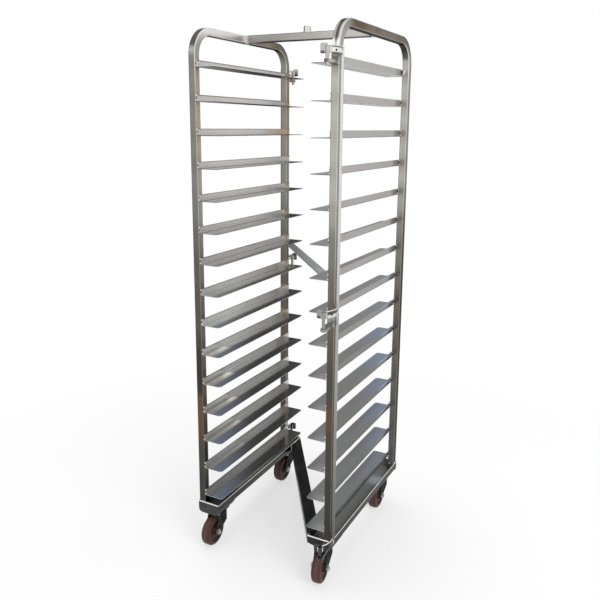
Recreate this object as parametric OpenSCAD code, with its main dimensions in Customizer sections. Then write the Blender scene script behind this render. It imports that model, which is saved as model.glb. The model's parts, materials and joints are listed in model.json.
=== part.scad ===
// Bakery sheet pan rack on four swivel casters.
// Two bent-tube side frames carry fifteen pairs of angle runners. A diagonal base member, a diagonal mid
// brace and a top bar join the sides, and a swing gate at each open end keeps the pans in.
// Origin: on the floor under the middle of the rack. +Z up, pans slide along Y. Millimetres.

/* [Tiers] */
// Height from one runner to the next
tier_pitch = 103; // [80:1:130]
// Width of a runner's flat leg, from the post to its free edge
runner_reach = 67; // [50:1:85]
// Height of a runner's upright leg
runner_leg_h = 21; // [15:1:35]
// Sheet thickness of the runners
runner_t = 1.5; // [1:0.1:3]
// Outside radius of a runner's bend
runner_bend_r = 3; // [3:0.5:8]
// Distance that a runner's ends stop short of the posts' outer faces
runner_setback = 4; // [0:1:12]
// Cut across the free corners of a runner
runner_chamfer = 7; // [2:1:15]

/* [Side frames] */
// Width of the square tube
tube_w = 25; // [22:1:32]
// Wall thickness of the square tube
tube_wall = 1.5; // [1:0.1:3]
// Outside corner radius of the square tube
tube_corner_r = 3.5; // [3.2:0.1:6]
// Clear width between the posts of the two frames
inner_width = 462; // [420:1:520]
// Depth of a frame over its posts
frame_depth = 594; // [500:1:680]
// Height of the frame's top above the highest runner
top_rise = 124; // [120:1:180]
// Centre-line radius of the bends at the top corners
bend_r = 76; // [50:1:84]

/* [Top bar and mid brace] */
// Diameter of the lift pin
lift_pin_d = 24; // [16:1:25]
// Height of the lift pin above the top bar
lift_pin_h = 19; // [15:1:40]
// Chamfer around the lift pin's top
lift_pin_chamfer = 2; // [0.5:0.5:4]
// Width of the flat mid brace
brace_w = 30; // [20:1:45]
// Thickness of the flat mid brace
brace_t = 5; // [3:0.5:8]
// Distance of the mid brace's ends from the posts' inner faces
brace_end_in = 38; // [30:1:45]
// Distance of the mid brace's ends from the middle of the depth
brace_end_y = 228; // [100:1:235]

/* [Base] */
// Distance that a base tray reaches inwards from the posts
tray_reach = 57; // [45:1:75]
// Sheet thickness of the base trays
tray_wall = 2; // [1.5:0.1:3]
// Height of a base tray's sides
tray_depth = 29; // [22:1:40]
// Outside radius of a base tray's lower bends
tray_edge_r = 6; // [4:0.5:8]
// Radius of the lower corners of a tray's end plates
end_corner_r = 14; // [4:1:18]
// Height of the lowest runner above a tray's rim
tray_gap = 26; // [20:1:60]
// Width of the diagonal base member
diagonal_w = 42; // [25:1:50]
// Wall thickness of the diagonal base member
diagonal_wall = 2; // [1.5:0.1:4]
// Distance of the diagonal's centre line from a tray's end
diagonal_end_in = 38; // [38:1:120]

/* [Caster pads] */
// Depth of the pressed pad under each end of a tray
pad_depth = 13; // [12:1:30]
// Sheet thickness of the pads
pad_wall = 2; // [1.5:0.1:3]
// Radius of the pads' lower edges
pad_edge_r = 7; // [4:0.5:7]
// Distance of a pad's flat bottom from the swivel axis, towards the middle of the rack
pad_flat_in = 35; // [34:1:60]
// Distance of a pad's closed end from the tray's end, under a gate
pad_setback = 16; // [6:1:16]
// Length of a pad's sloping inner end
pad_slope = 34; // [10:1:60]

/* [Casters] */
// Diameter of the wheels
wheel_d = 100; // [80:1:125]
// Width of the wheels' tread
wheel_w = 33; // [25:1:40]
// Radius of the tread's shoulders
wheel_shoulder_r = 9; // [3:1:12]
// Diameter of the wheels' hub
wheel_hub_d = 32; // [26:1:40]
// Depth of the round recess in each side of a wheel
wheel_recess = 5; // [2:0.5:8]
// Thickness of the rim between the recess and the tread
wheel_rim = 13; // [10:1:18]
// Horizontal distance from a swivel axis to its axle
caster_trail = 37; // [25:1:45]
// Distance of a swivel axis from a tray's inner side
caster_in_x = 37; // [34:1:50]
// Distance of a swivel axis from a tray's end
caster_in_y = 51; // [50:1:60]
// Length of a caster's top plate
plate_l = 66; // [62:1:68]
// Width of a caster's top plate
plate_w = 56; // [50:1:58]
// Thickness of a caster's top plate
plate_t = 4; // [3:0.5:6]
// Corner radius of a caster's top plate
plate_corner_r = 7; // [3:1:8]
// Bolt spacing along the top plate
bolt_span_l = 48; // [48:1:50]
// Bolt spacing across the top plate
bolt_span_w = 33; // [33:0.5:36]
// Diameter of the plate bolts
bolt_d = 8; // [6:1:8]
// Diameter of the ball race above the fork
race_d = 40; // [30:1:42]
// Height of the upper half of the ball race
race_upper_h = 5; // [3:0.5:8]
// Height of the lower half of the ball race
race_lower_h = 2; // [1:0.5:4]
// Diameter of the king pin
king_pin_d = 12; // [8:1:16]
// Diameter of the king pin's lower head
king_head_d = 20; // [18:1:24]
// Height of the king pin's lower head
king_head_h = 4; // [2:0.5:5]
// Thickness of the fork's crown
crown_t = 3.5; // [2.5:0.5:6]
// Room between a wheel and the crown above it
crown_gap = 3; // [2:0.5:8]
// Thickness of the fork's legs
fork_leg_t = 4; // [3:0.5:6]
// Reach of the fork's crown behind the swivel axis
fork_back = 18; // [15:1:24]
// Reach of the fork's crown ahead of the swivel axis
fork_front = 30; // [22:1:36]
// Height of the straight back edge of a fork leg
fork_skirt = 36; // [15:1:40]
// Radius of the round end of a fork leg
fork_end_r = 13; // [11:1:16]
// Diameter of the axle bolts
axle_d = 10; // [8:1:12]
// Outside diameter of the spacer tube that a wheel turns on
spacer_d = 16; // [14:1:20]
// Side play of a wheel's hub in its fork
hub_play = 1; // [0.5:0.1:2]
// Angle that the front right caster has swivelled to
front_right_turn = 6.5; // [-30:0.5:30]

/* [Swing gates] */
// Diameter of a gate's long rod
rod_d = 10; // [6:1:14]
// Clear gap between a gate's rod and the tray's side
rod_gap = 1.5; // [1:0.1:5]
// Distance of the hinge pins in front of the posts
hinge_reach = 62; // [45:1:75]
// Distance of the hinge pins outwards from the posts' inner faces
hinge_out = 19; // [10:1:22]
// Diameter of the hinge pins
hinge_pin_d = 10; // [6:1:10]
// Diameter of the hubs that the arms are welded to
hub_d = 13; // [12:1:16]
// Length of the lowest and highest hinge pins below their lugs
pin_tail = 10; // [4:1:18]
// Length of the middle hinge pins below their lugs
mid_pin_tail = 2; // [1:1:18]
// Height of the gate arms
arm_h = 20; // [12:1:24]
// Thickness of the gate arms
arm_t = 3; // [2:0.5:5]
// Height of an arm's bow above its chord
arm_bow = 9; // [4:1:14]
// Length of the thumb plates from the hinge axis
thumb_l = 21; // [15:1:30]
// Height of the thumb plates
thumb_h = 27; // [20:1:35]
// Thickness of the thumb plates
thumb_t = 3; // [2:0.5:5]
// Corner radius of the thumb plates
thumb_corner_r = 4; // [1:0.5:8]
// Thickness of the hinge lugs
lug_t = 8; // [5:1:10]
// Radius of the round eye of a hinge lug
lug_eye_r = 9; // [9:0.5:14]
// Thickness of the brackets' back plates
bracket_t = 3; // [2:0.5:5]
// Margin of a back plate inside the post's width
bracket_margin = 2; // [0:0.5:5]
// Height of a back plate below its lowest lug
bracket_foot = 4; // [1:1:8]
// Height of the middle arms above their tier
gate_mid_rise = 6; // [0:1:40]
// Depth of the lowest arms below the trays' rim
gate_low_drop = 1; // [0:1:3]
// Depth of the lowest and highest lugs below their arms
lug_drop = 14; // [6:1:16]
// Depth of the middle lugs below their arms
mid_lug_drop = 30; // [20:1:45]

/* [Hidden] */
$fn = 64;
TIERS = 15;
BRACE_TIER = 7;
GATE_TIER = 8;
SIDES = [["left", -1], ["right", 1]];
FRONT_CORNERS = [["front_left", -1, -1, 0], ["front_right", 1, -1, front_right_turn]];
REAR_CORNERS = [["rear_left", -1, 1, 0], ["rear_right", 1, 1, 0]];
CORNERS = concat(FRONT_CORNERS, REAR_CORNERS);

// Fits and clearances
run_fit = 0.06;
bolt_clearance = 0.2;
swivel_gap = 0.5;
bracket_gap = 2;
weld_gap = 0.1;
cut_extra = 10;

// Hexagon heads and nuts, as multiples of the bolt diameter
hex_d = 1.85;
hex_h = 0.7;
axle_hex_d = 1.9;
axle_hex_h = 0.75;
axle_tail = 3;

// How far a wheel's hub stands out of the tread's sides
hub_proud = 1.5;

// Heights, from the floor up
axle_z = wheel_d / 2;
crown_z = wheel_d + crown_gap;
crown_top = crown_z + crown_t;
race_z = crown_top + race_lower_h + swivel_gap;
plate_z = race_z + race_upper_h;
pad_z = plate_z + plate_t;
tray_z = pad_z + pad_depth;
tray_rim = tray_z + tray_depth;
first_tier_z = tray_rim + tray_gap;
frame_top = tier_z(1) + top_rise;
bend_z = frame_top - tube_w / 2 - bend_r;
post_foot = tray_z + tray_edge_r;

// Places across the rack
inner_x = inner_width / 2;
outer_x = inner_x + tube_w;
post_x = inner_x + tube_w / 2;
tray_in_x = inner_x - tray_reach;
tray_out_x = outer_x + tray_wall;
tray_w = tray_out_x - tray_in_x;
tray_x = (tray_in_x + tray_out_x) / 2;
caster_x = tray_in_x + caster_in_x;
brace_end_x = inner_x - brace_end_in;
rod_x = tray_out_x + rod_gap + rod_d / 2;
hinge_x = inner_x + hinge_out;

// Places along the rack
half_depth = frame_depth / 2;
post_y = half_depth - tube_w / 2;
bend_y = post_y - bend_r;
runner_l = frame_depth - 2 * runner_setback;
tray_half = half_depth + tray_wall;
caster_y = tray_half - caster_in_y;
pad_w = tray_w - 2 * tray_edge_r;
pad_flat_y = caster_y - pad_flat_in;
diagonal_end_y = tray_half - diagonal_end_in;
rod_y = -half_depth;
hinge_y = -half_depth - hinge_reach;

// Swing gates, from the lowest hinge up: an arm's lower edge, its lug's depth, its bracket's back face,
// its pin's tail
LOW_HINGE = [tray_rim - gate_low_drop, lug_drop, -tray_half, pin_tail];
MID_HINGE = [tier_z(GATE_TIER) + gate_mid_rise, mid_lug_drop, -half_depth, mid_pin_tail];
TOP_HINGE = [bend_z - arm_h, lug_drop, -half_depth, pin_tail];
HINGES = [LOW_HINGE, MID_HINGE, TOP_HINGE];

// Arc of a gate arm, from the hinge axis to the rod
arm_dx = rod_x - hinge_x;
arm_dy = rod_y - hinge_y;
arm_chord = norm([arm_dx, arm_dy]);
arm_r = arm_chord * arm_chord / (8 * arm_bow) + arm_bow / 2;
arm_sink = arm_r - arm_bow;
arm_cx = (rod_x + hinge_x) / 2 - arm_sink * arm_dy / arm_chord;
arm_cy = (rod_y + hinge_y) / 2 + arm_sink * arm_dx / arm_chord;
arm_start = atan2(hinge_y - arm_cy, hinge_x - arm_cx);
arm_turn = atan2(rod_y - arm_cy, rod_x - arm_cx) - arm_start;

// Width between the fork's legs
fork_gap = wheel_w + 2 * hub_play + 2 * hub_proud;

function tier_z(i) = first_tier_z + (TIERS - i) * tier_pitch;
function two_digits(i) = i < 10 ? str("0", i) : str(i);
function runner_name(side, i) = str(side, "_runner_", two_digits(i));

RUNNER_NODES = [for (side = SIDES, i = [1 : TIERS]) runner_name(side[0], i)];
CASTER_NODES = [for (part = ["fork", "axle", "wheel"], corner = CORNERS) str(corner[0], "_", part)];

// Square of width w with round corners, centred
module rounded_square(w, r) {
    rounded_rectangle(w, w, r);
}

// Rectangle w by l with round corners, centred
module rounded_rectangle(w, l, r) {
    square([w - 2 * r, l], center = true);
    square([w, l - 2 * r], center = true);
    for (x = [-1, 1], y = [-1, 1])
        translate([x * (w / 2 - r), y * (l / 2 - r)])
            circle(r);
}

// Section of the square tube, centred
module tube_section() {
    difference() {
        rounded_square(tube_w, tube_corner_r);
        rounded_square(tube_w - 2 * tube_wall, tube_corner_r - tube_wall);
    }
}

// Sheet section w wide and h high, flat at the top, with its two lower corners rounded
module pressed_section(w, h, r) {
    translate([-w / 2, r])
        square([w, h - r]);
    translate([r - w / 2, 0])
        square([w - 2 * r, r]);
    for (side = [-1, 1])
        translate([side * (w / 2 - r), r])
            circle(r);
}

// Copies to the four caster positions, at the swivel axes
module at_casters() {
    for (corner = CORNERS)
        translate([corner[1] * caster_x, corner[2] * caster_y, 0])
            children();
}

// Copies to the four bolt positions of a caster plate
module at_plate_bolts() {
    for (x = [-1, 1], y = [-1, 1])
        translate([x * bolt_span_w / 2, y * bolt_span_l / 2, 0])
            children();
}

// Turns a front piece half round to the rear of the rack
module to_rear() {
    rotate(180)
        children();
}

// Inverted U of square tube in the YZ plane
module side_frame(side) {
    color("silver")
        translate([side * post_x, 0, 0]) {
            for (end = [0, 1])
                mirror([0, end, 0]) {
                    translate([0, post_y, post_foot])
                        linear_extrude(bend_z - post_foot)
                            tube_section();
                    translate([0, bend_y, bend_z])
                        rotate([90, 0, 90])
                            rotate_extrude(angle = 90)
                                translate([bend_r, 0])
                                    tube_section();
                }
            translate([0, bend_y, frame_top - tube_w / 2])
                rotate([90, 0, 0])
                    linear_extrude(2 * bend_y)
                        tube_section();
        }
}

// Angle section: flat leg along +X, upright leg along +Y, outside corner at the origin
module angle_section() {
    bend = runner_bend_r;
    translate([bend, 0])
        square([runner_reach - bend, runner_t]);
    translate([0, bend])
        square([runner_t, runner_leg_h + runner_t - bend]);
    translate([bend, bend])
        intersection() {
            difference() {
                circle(bend);
                circle(bend - runner_t);
            }
            translate([-bend, -bend])
                square(bend);
        }
}

// Plan of a runner, with its free corners cut across
module runner_plan() {
    half = runner_l / 2;
    polygon([
        [0, -half], [runner_reach - runner_chamfer, -half], [runner_reach, runner_chamfer - half],
        [runner_reach, half - runner_chamfer], [runner_reach - runner_chamfer, half], [0, half]
    ]);
}

// Runner whose flat leg has its upper face at the tier's height
module runner(side, i) {
    color("gainsboro")
        mirror([side > 0 ? 0 : 1, 0, 0])
            translate([inner_x, 0, tier_z(i) - runner_t])
                mirror([1, 0, 0])
                    intersection() {
                        rotate([90, 0, 0])
                            linear_extrude(runner_l, center = true)
                                angle_section();
                        linear_extrude(runner_leg_h + runner_t)
                            runner_plan();
                    }
}

module top_cross_bar() {
    color("silver")
        translate([0, 0, frame_top - tube_w / 2])
            rotate([90, 0, 90])
                linear_extrude(inner_width, center = true)
                    tube_section();
}

module lift_pin() {
    straight = lift_pin_h - lift_pin_chamfer;
    color("silver")
        translate([0, 0, frame_top]) {
            cylinder(d = lift_pin_d, h = straight);
            translate([0, 0, straight])
                cylinder(d1 = lift_pin_d, d2 = lift_pin_d - 2 * lift_pin_chamfer, h = lift_pin_chamfer);
        }
}

// Flat bar under two runners, from the left rear to the right front
module mid_brace() {
    color("silver")
        translate([0, 0, tier_z(BRACE_TIER) - runner_t - brace_t / 2])
            rotate(atan2(-brace_end_y, brace_end_x))
                cube([2 * norm([brace_end_x, brace_end_y]), brace_w, brace_t], center = true);
}

// End plate of a tray, h high from the rim down, with its outer face at the tray's end
module end_plate(h) {
    translate([0, tray_half, tray_rim - h])
        rotate([90, 0, 0])
            linear_extrude(tray_wall)
                pressed_section(tray_w, h, end_corner_r);
}

// Right tray: bent channel open at the top, with a deep rear end plate that also covers the pad
module base_tray() {
    color("gray")
        translate([tray_x, 0, 0]) {
            translate([0, 0, tray_z])
                rotate([90, 0, 0])
                    linear_extrude(frame_depth, center = true)
                        difference() {
                            pressed_section(tray_w, tray_depth, tray_edge_r);
                            translate([0, tray_wall])
                                pressed_section(tray_w - 2 * tray_wall, tray_depth, tray_edge_r - tray_wall);
                        }
            end_plate(tray_depth + pad_depth);
            mirror([0, 1, 0])
                end_plate(tray_depth);
        }
}

// Rectangular tube between the inner sides of the trays, from the left rear to the right front
module base_diagonal() {
    reach = 2 * norm([tray_in_x, diagonal_end_y]) + 2 * diagonal_w;
    inside_w = diagonal_w - 2 * diagonal_wall;
    inside_h = tray_depth - 2 * diagonal_wall;
    color("gray")
        translate([0, 0, tray_z + tray_depth / 2])
            intersection() {
                rotate(atan2(-diagonal_end_y, tray_in_x))
                    difference() {
                        cube([reach, diagonal_w, tray_depth], center = true);
                        cube([reach + cut_extra, inside_w, inside_h], center = true);
                    }
                cube([2 * tray_in_x, 2 * tray_half, tray_depth + cut_extra], center = true);
            }
}

// Outside of a rear pad that ends at end_y, or the hollow inside it for an inset of the sheet's thickness
module pad_form(end_y, inset) {
    top = pad_depth + cut_extra * sign(inset);
    slope = pad_slope * top / pad_depth;
    foot_y = pad_flat_y + inset * norm([pad_slope, pad_depth]) / pad_depth;
    intersection() {
        translate([0, end_y - inset, inset])
            rotate([90, 0, 0])
                linear_extrude(end_y - inset)
                    pressed_section(pad_w - 2 * inset, top - inset, pad_edge_r - inset);
        rotate([90, 0, 90])
            linear_extrude(tray_w, center = true)
                polygon([[end_y, 0], [foot_y, 0], [foot_y - slope, top], [end_y, top]]);
    }
}

// Right rear pad that ends at end_y, with its bolt holes
module caster_pad(end_y) {
    translate([tray_x, 0, pad_z])
        difference() {
            pad_form(end_y, 0);
            pad_form(end_y, pad_wall);
            translate([caster_x - tray_x, caster_y, 0])
                at_plate_bolts()
                    cylinder(d = bolt_d + 2 * bolt_clearance, h = 3 * pad_wall, center = true);
        }
}

// Pressed sheet pans under the tray ends, which the caster plates bolt to
module caster_pads() {
    color("gray")
        for (turn = [0, 180])
            rotate(turn) {
                caster_pad(half_depth);
                mirror([0, 1, 0])
                    caster_pad(tray_half - pad_setback);
            }
}

// Top plates of the casters, each with the upper half of its ball race
module caster_plates() {
    color("dimgray")
        at_casters()
            difference() {
                union() {
                    translate([0, 0, plate_z])
                        linear_extrude(plate_t)
                            rounded_rectangle(plate_w, plate_l, plate_corner_r);
                    translate([0, 0, race_z])
                        cylinder(d = race_d, h = race_upper_h);
                }
                translate([0, 0, plate_z])
                    at_plate_bolts()
                        cylinder(d = bolt_d + 2 * bolt_clearance, h = 3 * plate_t, center = true);
                cylinder(d = king_pin_d + 2 * run_fit, h = pad_z + cut_extra);
            }
}

// Hexagon bolts up through the caster plates and the pads
module caster_bolts() {
    head_h = hex_h * bolt_d;
    color("lightgray")
        at_casters()
            at_plate_bolts()
                translate([0, 0, plate_z - head_h]) {
                    cylinder(d = hex_d * bolt_d, h = head_h, $fn = 6);
                    cylinder(d = bolt_d, h = 2 * head_h + plate_t + pad_wall + bolt_clearance);
                }
}

// Hexagon nuts on the caster bolts, inside the pads
module caster_nuts() {
    color("lightgray")
        at_casters()
            at_plate_bolts()
                translate([0, 0, pad_z + pad_wall])
                    difference() {
                        cylinder(d = hex_d * bolt_d, h = hex_h * bolt_d, $fn = 6);
                        cylinder(d = bolt_d + 2 * run_fit, h = 3 * bolt_d, center = true);
                    }
}

// Pins that the casters swivel on, with a head under each crown
module king_pins() {
    head_z = crown_z - swivel_gap - king_head_h;
    color("lightgray")
        at_casters() {
            translate([0, 0, head_z])
                cylinder(d = king_head_d, h = king_head_h);
            translate([0, 0, head_z])
                cylinder(d = king_pin_d, h = pad_z - head_z);
        }
}

// Side of a fork leg: upper edge along the crown, straight back edge, round end at the axle
module fork_leg_side() {
    difference() {
        union() {
            polygon([
                [fork_back, crown_top], [-fork_front, crown_top],
                [-caster_trail - fork_end_r, axle_z], [-caster_trail, axle_z - fork_end_r],
                [fork_back, crown_top - fork_skirt]
            ]);
            translate([-caster_trail, axle_z])
                circle(fork_end_r);
        }
        translate([-caster_trail, axle_z])
            circle(d = axle_d + 2 * run_fit);
    }
}

// Swivel fork at the origin: crown, two tapered legs and the lower half of the ball race
module fork_form() {
    outside = fork_gap + 2 * fork_leg_t;
    difference() {
        union() {
            translate([-outside / 2, -fork_front, crown_z])
                cube([outside, fork_front + fork_back, crown_t]);
            translate([0, 0, crown_top])
                cylinder(d = race_d, h = race_lower_h);
            for (side = [-1, 1])
                translate([side * (fork_gap + fork_leg_t) / 2, 0, 0])
                    rotate([90, 0, 90])
                        linear_extrude(fork_leg_t, center = true)
                            fork_leg_side();
        }
        cylinder(d = king_pin_d + 2 * run_fit, h = pad_z);
    }
}

// Axle bolt with its nut, and the spacer tube between the fork's legs
module axle_form() {
    outside = fork_gap + 2 * fork_leg_t;
    hex_l = axle_hex_h * axle_d;
    translate([0, -caster_trail, axle_z])
        rotate([0, 90, 0]) {
            translate([0, 0, -outside / 2 - hex_l])
                cylinder(d = axle_hex_d * axle_d, h = hex_l, $fn = 6);
            translate([0, 0, -outside / 2 - hex_l])
                cylinder(d = axle_d, h = outside + 2 * hex_l + axle_tail);
            translate([0, 0, outside / 2])
                difference() {
                    cylinder(d = axle_hex_d * axle_d, h = hex_l, $fn = 6);
                    cylinder(d = axle_d + 2 * run_fit, h = 3 * hex_l, center = true);
                }
            difference() {
                cylinder(d = spacer_d, h = fork_gap, center = true);
                cylinder(d = axle_d + 2 * run_fit, h = fork_gap + cut_extra, center = true);
            }
        }
}

// Half section of a wheel: radius along +X, width along Y
module wheel_section() {
    r = wheel_shoulder_r;
    rim_r = wheel_d / 2;
    hub_r = wheel_hub_d / 2;
    bore_r = spacer_d / 2 + run_fit;
    web_w = wheel_w - 2 * wheel_recess;
    hub_w = wheel_w + 2 * hub_proud;
    translate([bore_r, -web_w / 2])
        square([rim_r - wheel_rim - bore_r, web_w]);
    translate([bore_r, -hub_w / 2])
        square([hub_r - bore_r, hub_w]);
    translate([rim_r - wheel_rim, -wheel_w / 2])
        square([wheel_rim - r, wheel_w]);
    translate([rim_r - r, r - wheel_w / 2])
        square([r, wheel_w - 2 * r]);
    for (side = [-1, 1])
        translate([rim_r - r, side * (wheel_w / 2 - r)])
            circle(r);
}

module wheel_form() {
    translate([0, -caster_trail, axle_z])
        rotate([0, 90, 0])
            rotate_extrude()
                wheel_section();
}

// Puts a caster part on its swivel axis, at the angle it has swivelled to
module at_swivel(corner) {
    translate([corner[1] * caster_x, corner[2] * caster_y, 0])
        rotate(corner[3])
            children();
}

module fork(corner) {
    color("dimgray")
        at_swivel(corner)
            fork_form();
}

module axle(corner) {
    color("lightgray")
        at_swivel(corner)
            axle_form();
}

module wheel(corner) {
    color("saddlebrown")
        at_swivel(corner)
            wheel_form();
}

// Plan of a hinge lug from a bracket's face to the eye around the pin
module lug_plan(face) {
    difference() {
        union() {
            polygon([
                [inner_x + bracket_margin, face], [outer_x - bracket_margin, face],
                [hinge_x + lug_eye_r, hinge_y], [hinge_x - lug_eye_r, hinge_y]
            ]);
            translate([hinge_x, hinge_y])
                circle(lug_eye_r);
        }
        translate([hinge_x, hinge_y])
            circle(d = hinge_pin_d + 2 * run_fit);
    }
}

// Front bracket: back plate on the post or the tray's end, with one lug under the arm
module gate_bracket(hinge) {
    lug_z = hinge[0] - hinge[1] - lug_t;
    foot_z = lug_z - bracket_foot;
    translate([inner_x + bracket_margin, hinge[2] - bracket_t, foot_z])
        cube([tube_w - 2 * bracket_margin, bracket_t, hinge[0] - bracket_gap - foot_z]);
    translate([0, 0, lug_z])
        linear_extrude(lug_t)
            lug_plan(hinge[2]);
}

module gate_brackets() {
    color("silver")
        for (turn = [0, 180], hinge = HINGES)
            rotate(turn)
                gate_bracket(hinge);
}

// Long rod of the front gate, outside the front right post
module gate_rod() {
    foot_z = LOW_HINGE[0] - rod_d / 2;
    color("silver")
        translate([rod_x, rod_y, foot_z])
            cylinder(d = rod_d, h = TOP_HINGE[0] + arm_h + rod_d / 2 - foot_z);
}

// Thumb plate from the hinge axis inwards, with round corners
module thumb_plate() {
    rotate([90, 0, 0])
        linear_extrude(thumb_t, center = true)
            translate([-thumb_l / 2, thumb_h / 2])
                rounded_rectangle(thumb_l, thumb_h, thumb_corner_r);
}

// Bowed strip from the hinge to the rod, with its hub, thumb plate and hinge pin
module gate_arm(hinge) {
    pin_l = hinge[1] + lug_t + hinge[3];
    difference() {
        union() {
            translate([arm_cx, arm_cy, hinge[0]])
                rotate(arm_start)
                    rotate_extrude(angle = arm_turn)
                        translate([arm_r - arm_t / 2, 0])
                            square([arm_t, arm_h]);
            translate([hinge_x, hinge_y, hinge[0]]) {
                cylinder(d = hub_d, h = arm_h);
                thumb_plate();
            }
            translate([hinge_x, hinge_y, hinge[0] - pin_l])
                cylinder(d = hinge_pin_d, h = pin_l);
        }
        translate([rod_x, rod_y, hinge[0] - cut_extra])
            cylinder(d = rod_d + 2 * weld_gap, h = arm_h + 2 * cut_extra);
    }
}

module gate_arms() {
    color("silver")
        for (hinge = HINGES)
            gate_arm(hinge);
}

side_frame(-1);  // left_side_frame
side_frame(1);  // right_side_frame
top_cross_bar();
lift_pin();
mid_brace();
for (side = SIDES, i = [1 : TIERS])
    runner(side[1], i);
to_rear() base_tray();  // left_base_tray
base_tray();  // right_base_tray
base_diagonal();
caster_pads();
caster_plates();
caster_bolts();
caster_nuts();
king_pins();
gate_brackets();
gate_rod();  // front_gate_rod
gate_arms();  // front_gate_arms
to_rear() gate_rod();  // rear_gate_rod
to_rear() gate_arms();  // rear_gate_arms
for (corner = CORNERS) {
    fork(corner);
    axle(corner);
    wheel(corner);
}
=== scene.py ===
"""Looks of a bakery sheet pan rack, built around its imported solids."""

import json
import math
from functools import cached_property
from itertools import product

import bmesh
import bpy
from bpy.props import FloatProperty, FloatVectorProperty, IntProperty, PointerProperty
from mathutils import Matrix, Vector


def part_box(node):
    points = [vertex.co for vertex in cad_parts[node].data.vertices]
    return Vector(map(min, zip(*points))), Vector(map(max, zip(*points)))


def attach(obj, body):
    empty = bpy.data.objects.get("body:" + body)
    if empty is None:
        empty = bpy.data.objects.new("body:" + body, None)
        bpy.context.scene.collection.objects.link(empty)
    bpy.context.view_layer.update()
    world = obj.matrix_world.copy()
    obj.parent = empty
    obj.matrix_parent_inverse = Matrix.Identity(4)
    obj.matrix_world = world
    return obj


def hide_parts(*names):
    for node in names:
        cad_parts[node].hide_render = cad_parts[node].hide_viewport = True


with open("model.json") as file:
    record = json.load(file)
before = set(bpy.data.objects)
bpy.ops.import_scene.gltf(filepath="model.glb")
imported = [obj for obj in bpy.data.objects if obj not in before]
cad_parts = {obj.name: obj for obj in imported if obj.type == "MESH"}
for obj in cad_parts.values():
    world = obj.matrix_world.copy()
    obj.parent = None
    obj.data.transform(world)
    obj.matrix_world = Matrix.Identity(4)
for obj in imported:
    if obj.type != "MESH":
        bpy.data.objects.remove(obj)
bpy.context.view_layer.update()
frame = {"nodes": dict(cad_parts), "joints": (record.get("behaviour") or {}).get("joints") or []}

bl_info = {
    "name": "Sheet Pan Rack",
    "version": (1, 0, 0),
    "blender": (4, 5, 0),
    "location": "View3D > Sidebar > Pan Rack",
    "description": "Finishes, welds and hardware of a bakery sheet pan rack",
    "category": "Object",
}

PHOTO_PIXELS = 600
TIERS = 15
CORNERS = ("front_left", "front_right", "rear_left", "rear_right")
SIGNS = (-1, 1)
SMOOTH_ANGLE = math.radians(35)
# Tints of dull steel seen along its surface: tube and sheet
TUBE_EDGE = (0.35, 0.35, 0.35, 1.0)
SHEET_EDGE = (0.85, 0.85, 0.85, 1.0)
# Part of a normal along an axis, from where a mask starts to where it is full
SQUARE_ON = (0.5, 0.9)
# Marks on more than one finish: black for painted shade, and straw heat tint
PAINTED_SHADE = (0.02, 0.02, 0.02)
STRAW = (0.36, 0.23, 0.06)
# Heights in metres at which the gates' steel changes, darkening towards the floor as painted shade
GATE_HEIGHTS = (0.15, 0.55, 0.85, 1.1, 1.5)
# Noise scales of the grain that rolling leaves along Y
ROLLED = (700.0, 7.0, 700.0)
# How far a bead's middle stands off a face, and how far it stops short of a corner
STAND_OFF, STOP_SHORT = 0.0004, 0.002
# Finish, ripple and taper of a rounded edge that is not a weld
ROUNDED = ("ground_steel", 0.0, 0.0)
# Tones of the hidden wall behind the rack and of the ceiling, by X in metres
WALL_TONES = ((-3.4, 0.33), (-1.9, 0.33), (-1.72, 0.26), (-1.5, 0.083))
WALL_TONES += ((-1.3, 0.076), (-1.1, 0.097), (-1.04, 0.14))
CEILING_TONES = ((-3.2, 0.15), (-1.1, 0.15), (-0.8, 0.45), (-0.4, 0.65))

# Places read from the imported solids, in metres
(POST_IN, _, _), (POST_OUT, POST_FACE, FRAME_TOP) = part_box("right_side_frame")
POST_BACK = POST_FACE - (POST_OUT - POST_IN)
TIER_Z = [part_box(f"right_runner_{i:02d}")[0].z for i in range(1, TIERS + 1)]
TIER_PITCH = TIER_Z[0] - TIER_Z[1]
(RUNNER_TIP, _, _), (_, RUNNER_END, RUNNER_TOP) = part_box("right_runner_01")
RUNNER_LEG = RUNNER_TOP - TIER_Z[0]
(TRAY_IN, _, _), (TRAY_OUT, TRAY_END, TRAY_RIM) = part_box("right_base_tray")
(_, _, BAR_LOW), (_, BAR_HALF, _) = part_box("top_cross_bar")
PIN_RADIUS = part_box("lift_pin")[1].x
ROD_LOW, ROD_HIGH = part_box("front_gate_rod")
JOINTS = {joint["name"]: joint for joint in frame["joints"]}
HINGE = Vector(JOINTS["front_gate_swing"]["pos_m"])


def colour(name, description, default):
    """Colour property."""
    return FloatVectorProperty(name=name, description=description, subtype="COLOR", default=default)


def number(name, description, default, unit="NONE"):
    """Float property."""
    return FloatProperty(name=name, description=description, unit=unit, default=default)


def length(name, description, default):
    """Float property in metres."""
    return number(name, description, default, "LENGTH")


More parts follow.
